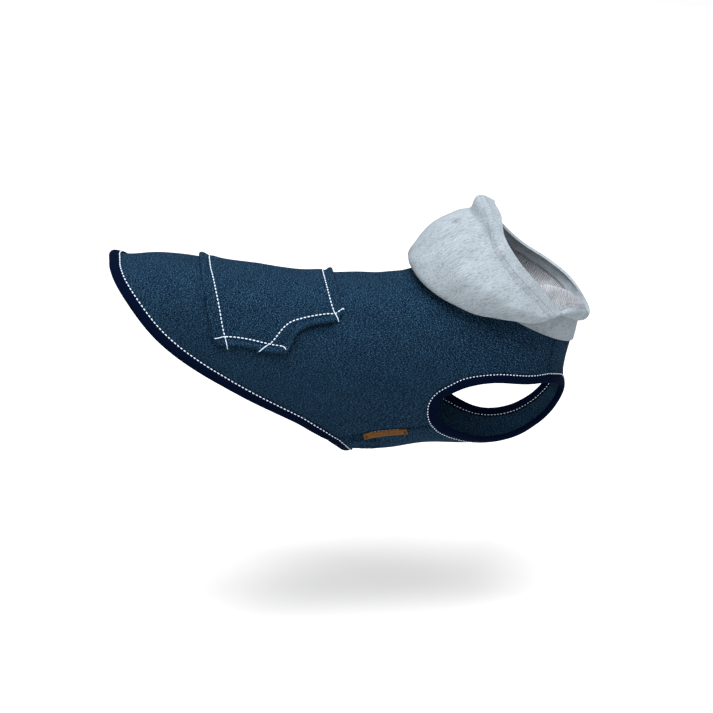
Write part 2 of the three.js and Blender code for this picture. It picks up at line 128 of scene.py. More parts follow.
# How much lower than the plain form the back hangs where the pocket weighs on it, in mm.
BACK_DIP = np.array([
    # at, down
    [0.5, 0.0], [0.55, 0.6], [0.59, 0.8], [0.612, 1.2], [0.634, 1.8], [0.655, 3.1], [0.673, 3.8], [0.69, 4.0],
    [0.709, 3.4], [0.725, 2.5], [0.742, 1.9], [0.758, 2.4], [0.775, 3.1], [0.79, 3.0], [0.807, 2.0],
    [0.822, 0.4], [0.838, 0.0], [0.86, -0.9], [0.93, -1.0], [1.0, -0.6],
])
ARMHOLE = np.array([
    # at, round
    [0.147, 0.872], [0.16, 0.77], [0.196, 0.69], [0.254, 0.59], [0.314, 0.536], [0.369, 0.522],
    [0.412, 0.547], [0.447, 0.593], [0.461, 0.66], [0.457, 0.73], [0.432, 0.8], [0.39, 0.865],
    [0.32, 0.895], [0.24, 0.905], [0.18, 0.905],
])


def smooth(keys, values, t, period=0.0):
    """Values at t on a smooth curve through the rows; a loop has a period."""
    keys = np.asarray(keys, float)
    values = np.asarray(values, float)
    t = np.asarray(t, float)
    if period:
        keys = np.concatenate([keys[-2:] - period, keys, keys[:3] + period])
        values = np.concatenate([values[-2:], values, values[:3]])
        t = t - period * np.floor(t / period)
    slopes = np.empty_like(values)
    slopes[1:-1] = (values[2:] - values[:-2]) / (keys[2:] - keys[:-2])
    slopes[0] = (values[1] - values[0]) / (keys[1] - keys[0])
    slopes[-1] = (values[-1] - values[-2]) / (keys[-1] - keys[-2])
    i = np.clip(np.searchsorted(keys, t, side="right") - 1, 0, len(keys) - 2)
    h = keys[i + 1] - keys[i]
    s = (t - keys[i]) / h
    near = (2 * s**3 - 3 * s**2 + 1) * values[i] + (s**3 - 2 * s**2 + s) * h * slopes[i]
    return near + (3 * s**2 - 2 * s**3) * values[i + 1] + (s**3 - s**2) * h * slopes[i + 1]


def torso(at, turn):
    """Points of the worn form's face. turn is 0 on the spine, a quarter on the right side."""
    at, turn = np.broadcast_arrays(np.asarray(at, float), np.asarray(turn, float))
    top_x, top_z, under_x, under_z, half, square, under_square = (
        smooth(TORSO[:, 0], TORSO[:, k], at) for k in range(1, 8)
    )
    top_x, under_x = top_x * BACK_RUN, under_x * BACK_RUN
    top_z, under_z = top_z * CHEST_DEPTH + BODY_CLOTH, under_z * CHEST_DEPTH + BODY_CLOTH
    up_x, up_z = top_x - under_x, top_z - under_z
    height = np.hypot(up_x, up_z)
    across, rise = np.sin(turn), np.cos(turn)
    power = square + (under_square - square) * (1 - rise) / 2
    half_width = half * CHEST_WIDTH / 2
    size = (np.abs(across / half_width) ** power + np.abs(rise / (height / 2)) ** power) ** (-1 / power)
    x = (top_x + under_x) / 2 + size * rise * up_x / height
    z = (top_z + under_z) / 2 + size * rise * up_z / height
    return np.stack([x, -size * across, z], axis=-1)


def torso_slopes(at, turn):
    """How places change along the form and round it, and its outward normal."""
    step = 1e-3
    along = (torso(at + step, turn) - torso(at - step, turn)) / (2 * step)
    around = (torso(at, turn + step) - torso(at, turn - step)) / (2 * step)
    normal = np.cross(along, around)
    return along, around, normal / np.linalg.norm(normal, axis=-1, keepdims=True)


def off_torso(at, turn, off):
    return torso(at, turn) + torso_slopes(at, turn)[2] * np.asarray(off)[..., None]


def seam_turn(at):
    return smooth(SIDE_SEAM[:, 0], SIDE_SEAM[:, 1], at) * math.pi


def hem_at(turn):
    round_trip = np.abs(turn - 2 * math.pi * np.round(np.asarray(turn) / (2 * math.pi)))
    return smooth(HEM[:, 0], HEM[:, 1], round_trip / math.pi)


def panel_ends(turn_of, shares, short=0.004):
    """The last section of each line down a panel, which stops short of the folded edge."""
    at = np.full_like(shares, 0.8)
    for _ in range(25):
        at = (at + hem_at(turn_of(at, shares))) / 2
    turn = turn_of(at, shares)
    along, around, normal = torso_slopes(at, turn)
    slant = (hem_at(turn + 1e-3) - hem_at(turn - 1e-3)) / 2e-3
    ahead = around + along * slant[..., None]
    ahead /= np.linalg.norm(ahead, axis=-1, keepdims=True)
    return at + short / np.sum(along * np.cross(normal, ahead), axis=-1)


def armhole_loop(count, mirror):
    """The folded edge of an armhole; mirror is 1 on the right and -1 on the left."""
    steps = np.arange(len(ARMHOLE)) / len(ARMHOLE)
    t = np.arange(count) / count
    return smooth(steps, ARMHOLE[:, 0], t, 1.0), smooth(steps, ARMHOLE[:, 1], t, 1.0) * math.pi * mirror


def lay_cloth(name, rows, columns, points, flat):
    """A flat grid of cloth, as cut, whose points are then laid where the worn cloth has them.
    points is an array of rows + 1 by columns + 1 places, and flat the same of flat places."""
    bpy.ops.object.select_all(action="DESELECT")
    bpy.ops.mesh.primitive_grid_add(x_subdivisions=columns, y_subdivisions=rows, size=1, calc_uvs=True)
    cloth = bpy.context.object
    cloth.name = name
    mesh = cloth.data
    count = len(mesh.vertices)
    place = np.empty(count * 3)
    mesh.vertices.foreach_get("co", place)
    place = place.reshape(-1, 3)
    j = np.round((place[:, 0] + 0.5) * columns).astype(int)
    i = np.round((place[:, 1] + 0.5) * rows).astype(int)
    mesh.vertices.foreach_set("co", points[i, j].reshape(-1))
    corner = np.empty(len(mesh.loops), dtype=int)
    mesh.loops.foreach_get("vertex_index", corner)
    mesh.uv_layers[0].data.foreach_set("uv", flat[i[corner], j[corner]].reshape(-1))
    mesh.uv_layers[0].name = "flat"
    mesh.flip_normals()
    mesh.update()
    return cloth


# Edges of a piece that turn by more than this stay sharp.
SHARP = math.radians(50)


def thicken(cloth, thick):
    """Gives a sheet its wall and keeps its laid face outside."""
    bpy.context.view_layer.objects.active = cloth
    wall = cloth.modifiers.new("wall", "SOLIDIFY")
    wall.thickness = thick
    wall.offset = -1.0
    wall.use_even_offset = False
    bpy.ops.object.modifier_apply(modifier="wall")
    bpy.ops.object.select_all(action="DESELECT")
    cloth.select_set(True)
    bpy.ops.object.shade_smooth_by_angle(angle=SHARP)


def flat_lengths(points):
    """Where each point of a laid grid was in the flat cloth, in metres along its two threads."""
    down = np.linalg.norm(np.diff(points, axis=0), axis=-1)
    across = np.linalg.norm(np.diff(points, axis=1), axis=-1)
    v = np.concatenate([np.zeros((1, points.shape[1])), np.cumsum(down, axis=0)])
    u = np.concatenate([np.zeros((points.shape[0], 1)), np.cumsum(across, axis=1)], axis=1)
    u = u - u[:, [points.shape[1] // 2]]
    return np.stack([u, v], axis=-1)


def cloth_area(points):
    """The area of a laid grid, from the two triangles of each of its squares."""
    a = np.cross(points[1:, :-1] - points[:-1, :-1], points[:-1, 1:] - points[:-1, :-1])
    b = np.cross(points[1:, 1:] - points[1:, :-1], points[1:, 1:] - points[:-1, 1:])
    return (np.linalg.norm(a, axis=-1).sum() + np.linalg.norm(b, axis=-1).sum()) / 2


def open_armholes(cloth, clear=0.0035):
    """Cuts the two armholes out of a laid panel, well inside where their bindings grip it."""
    mesh = cloth.data
    place = np.empty(len(mesh.vertices) * 3)
    mesh.vertices.foreach_get("co", place)
    place = place.reshape(-1, 3)
    gone = np.zeros(len(place), bool)
    for mirror in (1, -1):
        at, turn = armhole_loop(120, mirror)
        edge = torso(at, turn)
        centre = edge.mean(axis=0)
        # The hole is judged flat, looking squarely at its middle.
        outward = torso_slopes(np.array([0.31]), np.array([0.72 * math.pi * mirror]))[2][0]
        first = np.cross(outward, (0, 0, 1.0))
        first /= np.linalg.norm(first)
        second = np.cross(outward, first)
        ring = np.stack([(edge - centre) @ first, (edge - centre) @ second], axis=-1)
        spread = np.linalg.norm(ring, axis=-1, keepdims=True)
        ring = ring * (1 + clear / spread)
        p = np.stack([(place - centre) @ first, (place - centre) @ second], axis=-1)
        side = place[:, 1] * mirror < -0.008
        angle = np.arctan2(p[:, 1], p[:, 0])
        edge_angle = np.arctan2(ring[:, 1], ring[:, 0])
        order = np.argsort(edge_angle)
        reach = np.interp(angle, edge_angle[order], np.linalg.norm(ring, axis=-1)[order], period=2 * math.pi)
        gone |= side & (np.linalg.norm(p, axis=-1) < reach)
    bpy.context.view_layer.objects.active = cloth
    bpy.ops.object.mode_set(mode="EDIT")
    bpy.ops.mesh.select_all(action="DESELECT")
    bpy.ops.object.mode_set(mode="OBJECT")
    mesh.vertices.foreach_set("select", gone)
    bpy.ops.object.mode_set(mode="EDIT")
    bpy.ops.mesh.select_mode(type="VERT")
    bpy.ops.mesh.delete(type="VERT")
    bpy.ops.object.mode_set(mode="OBJECT")


def closed_piece(name, mesh):
    """A new piece from a closed mesh, with its faces turned outwards."""
    piece = bpy.data.objects.new(name, mesh)
    bpy.context.collection.objects.link(piece)
    bpy.ops.object.select_all(action="DESELECT")
    piece.select_set(True)
    bpy.context.view_layer.objects.active = piece
    bpy.ops.object.mode_set(mode="EDIT")
    bpy.ops.mesh.select_all(action="SELECT")
    bpy.ops.mesh.normals_make_consistent(inside=False)
    bpy.ops.object.mode_set(mode="OBJECT")
    return piece


def sheet_between(name, outer, inner, flat, finishes, looped=False):
    """A closed sheet of cloth from the places of its two faces, each an array of rows by columns.
    flat holds the same points in the flat cloth, and finishes the materials of its outside and
    its inside. A looped sheet is joined round to its first column."""
    rows, wide = outer.shape[:2]
    turns = wide if looped else wide - 1
    layer = rows * wide
    out = lambda i, j: i * wide + j % wide
    rim = lambda a, b: np.stack([a, b, layer + b, layer + a], -1)
    reverse = lambda faces: faces[:, [0, 3, 2, 1]]
    i, j = np.meshgrid(np.arange(rows - 1), np.arange(turns), indexing="ij")
    front = np.stack([out(i, j), out(i + 1, j), out(i + 1, j + 1), out(i, j + 1)], -1).reshape(-1, 4)
    back = front[:, ::-1] + layer
    k = np.arange(turns)
    rims = [rim(out(0, k), out(0, k + 1)), reverse(rim(out(rows - 1, k), out(rows - 1, k + 1)))]
    if not looped:
        k = np.arange(rows - 1)
        rims += [reverse(rim(out(k, 0), out(k + 1, 0))), rim(out(k, turns), out(k + 1, turns))]
    faces = np.concatenate([front, back] + rims)
    mesh = bpy.data.meshes.new(name)
    mesh.from_pydata(np.concatenate([outer.reshape(-1, 3), inner.reshape(-1, 3)]), [], faces)
    for finish in finishes:
        mesh.materials.append(finish)
    sides = np.zeros(len(faces), dtype=np.int32)
    sides[len(front) : 2 * len(front)] = 1
    mesh.polygons.foreach_set("material_index", sides)
    corner = np.empty(len(mesh.loops), dtype=int)
    mesh.loops.foreach_get("vertex_index", corner)
    uv = flat.reshape(-1, 2)[corner % layer].copy()
    if looped:
        # The last column of faces runs on past the whole round, not back to the start.
        whole = flat[:, -1, 0].max() - flat[:, 0, 0].min() + (flat[0, 1, 0] - flat[0, 0, 0])
        u = uv[:, 0].reshape(-1, 4)
        low = u < u.max(axis=1, keepdims=True) - whole / 2
        uv[:, 0] = (u + whole * low).reshape(-1)
    mesh.uv_layers.new(name="flat")
    mesh.uv_layers[0].data.foreach_set("uv", uv.reshape(-1))
    mesh.update()
    cloth = closed_piece(name, mesh)
    bpy.ops.object.shade_smooth_by_angle(angle=SHARP)
    return cloth


def finish_nodes(name, roughness, sheen=0.0, gloss=0.02):
    """A new material with its Principled shader, ready for its own pattern."""
    material = bpy.data.materials.new(name)
    material.use_nodes = True
    nodes, links = material.node_tree.nodes, material.node_tree.links
    shader = nodes["Principled BSDF"]
    shader.inputs["Roughness"].default_value = roughness
    shader.inputs["Specular IOR Level"].default_value = gloss
    shader.inputs["Sheen Weight"].default_value = sheen
    shader.inputs["Sheen Roughness"].default_value = 0.5
    return material, nodes, links, shader


def linear(code):
    """A colour given as six hex digits, as Blender's linear values."""
    parts = [int(code[k : k + 2], 16) / 255 for k in (0, 2, 4)]
    return tuple(c / 12.92 if c <= 0.04045 else ((c + 0.055) / 1.055) ** 2.4 for c in parts) + (1.0,)


def add_node(nodes, kind, inputs={}, operation=None):
    """A new node of a kind; inputs holds plain values by the name or number of their socket."""
    node = nodes.new("ShaderNode" + kind)
    if kind == "Mix":
        node.data_type = "RGBA"
    if operation:
        node.operation = operation
    for socket, value in inputs.items():
        node.inputs[socket].default_value = value
    return node


def new_group(name, inputs, outputs):
    """A node group with its named sockets, its nodes and links, and its two end nodes."""
    group = bpy.data.node_groups.new(name, "ShaderNodeTree")
    for way, sockets in (("INPUT", inputs), ("OUTPUT", outputs)):
        for label, kind in sockets:
            group.interface.new_socket(name=label, in_out=way, socket_type="NodeSocket" + kind)
    ends = [group.nodes.new("NodeGroupInput"), group.nodes.new("NodeGroupOutput")]
    return group, group.nodes, group.links, *ends


def place_group(nodes, group, **values):
    """A group placed in a material with its own values."""
    node = nodes.new("ShaderNodeGroup")
    node.node_tree = group
    for label, value in values.items():
        node.inputs[label].default_value = value
    return node


# The marl that the body knit and the hood jersey share: yarn of mixed fibres, so that its flecks
# run from deep to pale. Streak draws the flecks out along the yarn.
marl, nodes, links, into, outof = new_group(
    "marl",
    [
        ("Vector", "Vector"), ("Deep", "Color"), ("Mid", "Color"), ("Fleck", "Color"),
        ("Grain", "Float"), ("Streak", "Float"),
    ],
    [("Color", "Color"), ("Height", "Float")],
)
draw = add_node(nodes, "CombineXYZ", {"X": 1.0, "Z": 1.0})
links.new(into.outputs["Streak"], draw.inputs["Y"])
drawn = add_node(nodes, "VectorMath", operation="MULTIPLY")
links.new(into.outputs["Vector"], drawn.inputs[0])
links.new(draw.outputs["Vector"], drawn.inputs[1])
noises = []
for scale, detail in [(1.0, 3.0), (2.3, 1.0), (0.09, 2.0)]:
    size = add_node(nodes, "Math", {1: scale}, "MULTIPLY")
    links.new(into.outputs["Grain"], size.inputs[0])
    noise = add_node(nodes, "TexNoise", {"Detail": detail, "Roughness": 0.62})
    links.new(drawn.outputs["Vector"], noise.inputs["Vector"])
    links.new(size.outputs["Value"], noise.inputs["Scale"])
    noises.append(noise)
yarns, flecks, patches = noises
deepen = add_node(nodes, "MapRange", {"From Min": 0.36, "From Max": 0.54})
links.new(yarns.outputs["Fac"], deepen.inputs["Value"])
pale = add_node(nodes, "MapRange", {"From Min": 0.54, "From Max": 0.78})
links.new(flecks.outputs["Fac"], pale.inputs["Value"])
broad = add_node(nodes, "MapRange", {"From Min": 0.3, "From Max": 0.7, "To Min": 0.9, "To Max": 1.08})
links.new(patches.outputs["Fac"], broad.inputs["Value"])
ground = add_node(nodes, "Mix")
links.new(deepen.outputs["Result"], ground.inputs["Factor"])
links.new(into.outputs["Deep"], ground.inputs[6])
links.new(into.outputs["Mid"], ground.inputs[7])
flecked = add_node(nodes, "Mix")
links.new(pale.outputs["Result"], flecked.inputs["Factor"])
links.new(ground.outputs[2], flecked.inputs[6])
links.new(into.outputs["Fleck"], flecked.inputs[7])
shaded = add_node(nodes, "VectorMath", operation="SCALE")
links.new(flecked.outputs[2], shaded.inputs[0])
links.new(broad.outputs["Result"], shaded.inputs["Scale"])
links.new(shaded.outputs["Vector"], outof.inputs["Color"])
links.new(flecks.outputs["Fac"], outof.inputs["Height"])

# Knitted ribs: the upright columns of loops, which both knits, the binding and the pocket show.
ribs, nodes, links, into, outof = new_group(
    "knit ribs", [("Vector", "Vector"), ("Ribs", "Float"), ("Loops", "Float")], [("Height", "Float")]
)
parts = add_node(nodes, "SeparateXYZ")
links.new(into.outputs["Vector"], parts.inputs["Vector"])
waves = []
for axis, rate in [("X", "Ribs"), ("Y", "Loops")]:
    turns = add_node(nodes, "Math", operation="MULTIPLY")
    links.new(parts.outputs[axis], turns.inputs[0])
    links.new(into.outputs[rate], turns.inputs[1])
    angle = add_node(nodes, "Math", {1: 2 * math.pi}, "MULTIPLY")
    links.new(turns.outputs["Value"], angle.inputs[0])
    wave = add_node(nodes, "Math", operation="SINE")
    links.new(angle.outputs["Value"], wave.inputs[0])
    waves.append(wave)
soft = add_node(nodes, "Math", {1: 0.4}, "MULTIPLY_ADD")
links.new(waves[1].outputs["Value"], soft.inputs[0])
links.new(waves[0].outputs["Value"], soft.inputs[2])
links.new(soft.outputs["Value"], outof.inputs["Height"])


def colour_by(mask, dark, pale, nodes, links, shader):
    """Colours a finish from a dark tone to a pale one as a mask goes from 0 to 1."""
    tone = add_node(nodes, "Mix", {6: linear(dark), 7: linear(pale)})
    links.new(mask, tone.inputs["Factor"])
    links.new(tone.outputs[2], shader.inputs["Base Color"])


def raise_by(height, depth, strength, nodes, links, shader):
    """Gives a finish its fine relief, so deep in metres."""
    bump = add_node(nodes, "Bump", {"Strength": strength, "Distance": depth})
    links.new(height, bump.inputs["Height"])
    links.new(bump.outputs["Normal"], shader.inputs["Normal"])


def knitted(name, deep, mid, fleck, grain, streak, ribs_per_metre, rib_depth, rise=None, painted_rib_shade=0.0):
    """A marl knit on the piece's flat map, with its ribs as a fine relief. With a rise, the marl's
    streaks run in the worn piece instead, at that angle over +X. The last value paints shade
    between the ribs, darkening the colour there by up to that share."""
    material, nodes, links, shader = finish_nodes(name, 0.95)
    flat_map = nodes.new("ShaderNodeUVMap")
    flat_map.uv_map = "flat"
    colours = {"Deep": linear(deep), "Mid": linear(mid), "Fleck": linear(fleck)}
    yarn = place_group(nodes, marl, Grain=grain, Streak=streak, **colours)
    if rise is None:
        links.new(flat_map.outputs["UV"], yarn.inputs["Vector"])
    else:
        worn = nodes.new("ShaderNodeTexCoord")
        turned = add_node(nodes, "Mapping", {"Rotation": (0, rise, math.pi / 2)})
        links.new(worn.outputs["Object"], turned.inputs["Vector"])
        links.new(turned.outputs["Vector"], yarn.inputs["Vector"])
    wales = place_group(nodes, ribs, Ribs=ribs_per_metre, Loops=ribs_per_metre * 1.3)
    links.new(flat_map.outputs["UV"], wales.inputs["Vector"])
    # Painted shade: the colour is darkened in the valleys between the ribs, lighter on their tops.
    between = add_node(nodes, "MapRange", {"From Min": -1.0, "To Min": 1.0 - painted_rib_shade})
    links.new(wales.outputs["Height"], between.inputs["Value"])
    shaded_by_ribs = add_node(nodes, "VectorMath", operation="SCALE")
    links.new(yarn.outputs["Color"], shaded_by_ribs.inputs[0])
    links.new(between.outputs["Result"], shaded_by_ribs.inputs["Scale"])
    links.new(shaded_by_ribs.outputs["Vector"], shader.inputs["Base Color"])
    mixed = add_node(nodes, "Math", {1: 1.6}, "MULTIPLY_ADD")
    links.new(yarn.outputs["Height"], mixed.inputs[0])
    links.new(wales.outputs["Height"], mixed.inputs[2])
    raise_by(mixed.outputs["Value"], rib_depth, 0.6, nodes, links, shader)
    return material


# Two folds in the belly panel beside the hem's lower corner.
BELLY_FOLDS = [
    # at, round
    np.array([
        [0.59, 0.793], [0.6, 0.788], [0.617, 0.7815], [0.6325, 0.779], [0.647, 0.795],
        [0.66, 0.816], [0.67, 0.83],
    ]),
    np.array([[0.59, 0.85], [0.604, 0.8425], [0.628, 0.8345], [0.647, 0.833], [0.67, 0.832]]),
]
# How far round the worn form a turn of one radian goes, for the width of seams and folds.
ROUND = 0.06


def relief(at, turn):
    """How far the worn cloth of the body stands off the plain form: soft swells, a dip under the
    pocket and before the bound rear hem, and a valley along each side seam."""
    turn = np.abs((turn + np.pi) % (2 * np.pi) - np.pi)
    from_hem = (hem_at(turn) - at) * BACK_RUN * 1.05
    on_top = np.clip(np.cos(turn), 0, 1)
    drawn_in = -0.0022 * np.exp(-((from_hem - 0.010) / 0.009) ** 2) * on_top ** 0.5
    lifted = 0.0012 * np.exp(-((from_hem - 0.036) / 0.018) ** 2) * on_top
    hung = -smooth(BACK_DIP[:, 0], BACK_DIP[:, 1], np.clip(at, 0.5, 1.0)) / 1000 * np.exp(-turn**4)
    swell = 0.0005 * np.sin(31 * at + 2.1 * turn) * np.sin(13 * at - 5.3 * turn)
    swell = swell + 0.00035 * np.sin(53 * at + 7 * turn + 1.3)
    along_seam = -0.0006 * np.exp(-(((turn - seam_turn(at)) * ROUND) / 0.0022) ** 2)
    return drawn_in + lifted + hung + swell * np.clip(at / 0.15, 0, 1) + along_seam


def creases(at, turn):
    """The narrow lines that only the panels have: the drawn-in seam, and folds under the belly.
    They fade out where a binding grips the cloth, the seam's to a third."""
    turn = np.abs((turn + np.pi) % (2 * np.pi) - np.pi)
    ring = torso(*armhole_loop(90, 1))
    place = torso(at, turn)
    from_ring = np.min([np.linalg.norm(place - point, axis=-1) for point in ring], axis=0)
    free = np.clip((np.minimum(from_ring, (hem_at(turn) - at) * 0.4) - 0.009) / 0.004, 0, 1)
    seam = 0.0022 * np.exp(-np.abs((turn - seam_turn(at)) * ROUND) / 0.0011)
    folds = 0.0
    for fold in BELLY_FOLDS:
        away = (turn - smooth(fold[:, 0], fold[:, 1], np.clip(at, 0.59, 0.67)) * math.pi) * ROUND
        along = np.clip((at - 0.585) / 0.02, 0, 1) * free
        valley = 0.0027 * np.exp(-((away / 0.0013) ** 2))
        ridge = 0.0014 * np.exp(-(((away - 0.0029) / 0.0015) ** 2))
        folds = folds + along * (valley - ridge)
    return -(seam * (0.3 + 0.7 * free) + folds)


def on_cloth(at, turn, off):
    """Places that stand off the worn body cloth."""
    return off_torso(at, turn, relief(at, turn) + off)


def packed(count, length, close):
    """Shares of a length for a grid, with lines close together by both ends; close is in metres."""
    close = np.asarray(close) / length
    return np.concatenate([close, np.linspace(close[-1], 1 - close[-1], count)[1:-1], 1 - close[::-1]])


# How far each panel runs on past the side seam, so that no light comes through it.
OVERLAP = 0.0001
# Where a panel's lines lie beside the seam, in metres, and how many rows it has.
BY_SEAM = [0.0, 0.0003, 0.0006, 0.001, 0.0015, 0.0022, 0.0031, 0.0042]
PANEL_ROWS = 130
blue_knit = knitted("blue marl knit", "020b17", "091f33", "48697f", 560, 0.7, 700, 0.00011)


def lay_panel(name, lines, width, turn_of):
    """A panel from neck to hem, with its armholes cut and its wall on, and its area as laid."""
    shares = packed(lines, width, BY_SEAM)
    at = np.linspace(0, 1, PANEL_ROWS + 1)[:, None] * panel_ends(turn_of, shares)[None, :]
    turn = turn_of(at, shares[None, :])
    points = on_cloth(at, turn, creases(at, turn))
    panel = lay_cloth(name, PANEL_ROWS, len(shares) - 1, points, flat_lengths(points))
    open_armholes(panel)
    thicken(panel, BODY_CLOTH)
    panel.data.materials.append(blue_knit)
    return panel, cloth_area(points)


def body_turn(at, share):
    """The turn at a share of the panel's width, from side seam to side seam over the back."""
    return (2 * share - 1) * (seam_turn(at) + OVERLAP / (CHEST_WIDTH / 2))


body, body_area = lay_panel("body_cloth", 170, 0.29, body_turn)
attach(body, "root")
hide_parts("body_panel")


# Belly panel: the narrow piece under the belly and between the foreleg holes, of the same knit.
# It is laid as the body panel is and sewn to it along both side seams.
def belly_turn(at, share):
    """The turn at a share of the panel's width, from side seam to side seam under the belly."""
    start = seam_turn(at) - OVERLAP / (CHEST_WIDTH / 2)
    return start + share * (2 * math.pi - 2 * start)


belly, belly_area = lay_panel("belly_cloth", 90, 0.095, belly_turn)
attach(belly, "root")
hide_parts("belly_panel")


# Hem binding: a strip of dark navy rib folded over the slanted rear edge and caught by one line
# of white topstitching that runs along its inner edge, through both of its layers.
def beside_edge(at, turn, side, into, off):
    """Places beside a looped edge: into goes into the cloth and off stands off its face."""
    along, around, normal = torso_slopes(at, turn)
    here = torso(at, turn)
    ahead = np.roll(here, -1, axis=0) - np.roll(here, 1, axis=0)
    ahead /= np.linalg.norm(ahead, axis=-1, keepdims=True)
    inward = np.cross(normal, ahead) * side
    aa, ar, rr = (np.sum(p * q, axis=-1) for p, q in [(along, along), (along, around), (around, around)])
    ia, ir = np.sum(inward * along, axis=-1), np.sum(inward * around, axis=-1)
    whole = aa * rr - ar * ar
    d_at, d_turn = (ia * rr - ir * ar) / whole, (ir * aa - ia * ar) / whole
    return on_cloth(at + into * d_at, turn + into * d_turn, off)


def run_along(points):
    """How far along a line each of its points is."""
    return np.concatenate([[0], np.cumsum(np.linalg.norm(np.diff(points, axis=0), axis=1))])


# Section of a folded binding, in mm: how far in from the fold, and how high its outer face is.
BINDING_TOP = [(10.0, 1.2), (9.9, 1.5), (9.2, 1.15), (8.4, 1.4), (6.6, 1.85), (4.4, 1.95), (2.6, 1.75)]
BINDING_FOLD = 2.45
BINDING_CLOTH = 0.9


def bind(name, at, turn, side):
    """A folded binding round a looped edge of the coat, with the length and width of its strip."""
    low = -BODY_CLOTH * 1000
    middle, radius = low / 2, BINDING_FOLD
    arc = [math.radians(a) for a in (115, 135, 155, 180, 205, 225, 245)]
    outer = BINDING_TOP + [(radius + radius * math.cos(a), middle + radius * math.sin(a)) for a in arc]
    outer = np.array(outer + [(a, low - b) for a, b in reversed(BINDING_TOP)])
    tangent = np.gradient(outer, axis=0)
    tangent /= np.linalg.norm(tangent, axis=1, keepdims=True)
    inner = outer + np.stack([-tangent[:, 1], tangent[:, 0]], -1) * BINDING_CLOTH
    lay = lambda profile: np.stack([beside_edge(at, turn, side, a / 1000, b / 1000) for a, b in profile])
    edge = torso(at, turn)
    drop = run_along(outer) / 1000
    flat = np.stack(np.broadcast_arrays(run_along(edge)[None, :], drop[:, None]), -1)
    piece = sheet_between(name, lay(outer), lay(inner), flat, (navy, navy), looped=True)
    length = np.linalg.norm(np.roll(edge, -1, axis=0) - edge, axis=1).sum()
    return piece, length, drop[-1]


def one_stitch(segments=6, rings=5):
    """One stitch of thread, a little bead along X, as places and faces to copy."""
    bpy.ops.object.select_all(action="DESELECT")
    bpy.ops.mesh.primitive_uv_sphere_add(segments=segments, ring_count=rings, radius=0.5, rotation=(0, math.pi / 2, 0))
    bead = bpy.context.object
    bpy.ops.object.transform_apply(location=False, rotation=True, scale=False)
    mesh = bead.data
    places = np.array([v.co[:] for v in mesh.vertices])
    places[:, 0] = np.sign(places[:, 0]) * np.abs(places[:, 0] * 2) ** 0.6 / 2
    faces = [list(f.vertices) for f in mesh.polygons]
    bpy.data.objects.remove(bead)
    return places, faces


def evenly(points, pitch, closed):
    """Middles and directions of stitches at an even pitch along a line, with their places on it."""
    if closed:
        points = np.concatenate([points, points[:1]])
    run = run_along(points)
    count = max(2, round(run[-1] / pitch))
    middles = (np.arange(count) + 0.5) * run[-1] / count
    look = lambda s: np.stack([np.interp(s, run, points[:, k]) for k in range(3)], -1)
    ahead = look(np.minimum(middles + 0.0005, run[-1])) - look(np.maximum(middles - 0.0005, 0))
    return look(middles), ahead / np.linalg.norm(ahead, axis=1, keepdims=True), middles / run[-1]


def sew(name, lines, pitch, length, width, finish, closed=False, seed=1):
    """Topstitching: copies of one stitch along lines, each a pair of places and outward normals."""
    bead, bead_faces = one_stitch()
    vertices, faces = [], []
    scatter = np.random.default_rng(seed)
    for points, normals in lines:
        middles, ahead, share = evenly(points, pitch, closed)
        steps = np.linspace(0, 1, len(points))
        up = np.stack([np.interp(share, steps, normals[:, k]) for k in range(3)], -1)
        side = np.cross(up, ahead)
        side /= np.linalg.norm(side, axis=1, keepdims=True)
        up = np.cross(ahead, side)
        for m, a, s, u in zip(middles, ahead, side, up):
            own = length * scatter.uniform(0.92, 1.06)
            tilted = a + s * scatter.uniform(-0.06, 0.06)
            faces += [[len(vertices) + k for k in f] for f in bead_faces]
            vertices += list(m + bead[:, :1] * own * tilted + bead[:, 1:2] * width * s + bead[:, 2:] * width * 0.7 * u)
    mesh = bpy.data.meshes.new(name)
    mesh.from_pydata(vertices, [], faces)
    mesh.polygons.foreach_set("use_smooth", np.ones(len(faces), bool))
    mesh.materials.append(finish)
    return closed_piece(name, mesh)


def spun_thread(name, dark, pale, *shine):
    """A thread's finish, whose fine twist goes from a dark tone to a pale one."""
    material, nodes, links, shader = finish_nodes(name, *shine)
    coords = nodes.new("ShaderNodeTexCoord")
    ply = add_node(nodes, "TexNoise", {"Scale": 2500})
    links.new(coords.outputs["Object"], ply.inputs["Vector"])
    colour_by(ply.outputs["Fac"], dark, pale, nodes, links, shader)
    return material


navy, nodes, links, shader = finish_nodes("navy rib binding", 0.95)
flat_map = nodes.new("ShaderNodeUVMap")
flat_map.uv_map = "flat"
wales = place_group(nodes, ribs, Ribs=900, Loops=1100)
links.new(flat_map.outputs["UV"], wales.inputs["Vector"])
# Painted shade: the binding's colour goes darker between its ribs and paler on their tops.
shade = add_node(nodes, "MapRange", {"From Min": -1.4, "From Max": 1.4})
links.new(wales.outputs["Height"], shade.inputs["Value"])
colour_by(shade.outputs["Result"], "010512", "020c24", nodes, links, shader)
raise_by(wales.outputs["Height"], 0.0001, 0.5, nodes, links, shader)
white_thread = spun_thread("white thread", "a6b9d2", "e0eefc", 0.6, 0.1, 0.2)

hem_turn = np.arange(420) / 420 * 2 * math.pi
hem_edge_at = hem_at(hem_turn)
hem, hem_length, hem_width = bind("hem_rib", hem_edge_at, hem_turn, 1)
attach(hem, "root")
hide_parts("hem_binding")

# The one line of stitches shows on both faces of the binding, near its inner edge.
STITCH_IN, STITCH_OFF = 0.0093, 0.0013


def rows_on_binding(at, turn, side):
    """The places of the stitches on the outer and the inner face of a binding, with their normals."""
    outward = torso_slopes(at, turn)[2]
    return [
        (beside_edge(at, turn, side, STITCH_IN, off), outward * way)
        for off, way in ((STITCH_OFF, 1), (-BODY_CLOTH - STITCH_OFF, -1))
    ]


hem_rows = rows_on_binding(hem_edge_at, hem_turn, 1)
hem_stitching = sew("hem_stitching", hem_rows, 0.0036, 0.0024, 0.0012, white_thread, closed=True)
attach(hem_stitching, "root")


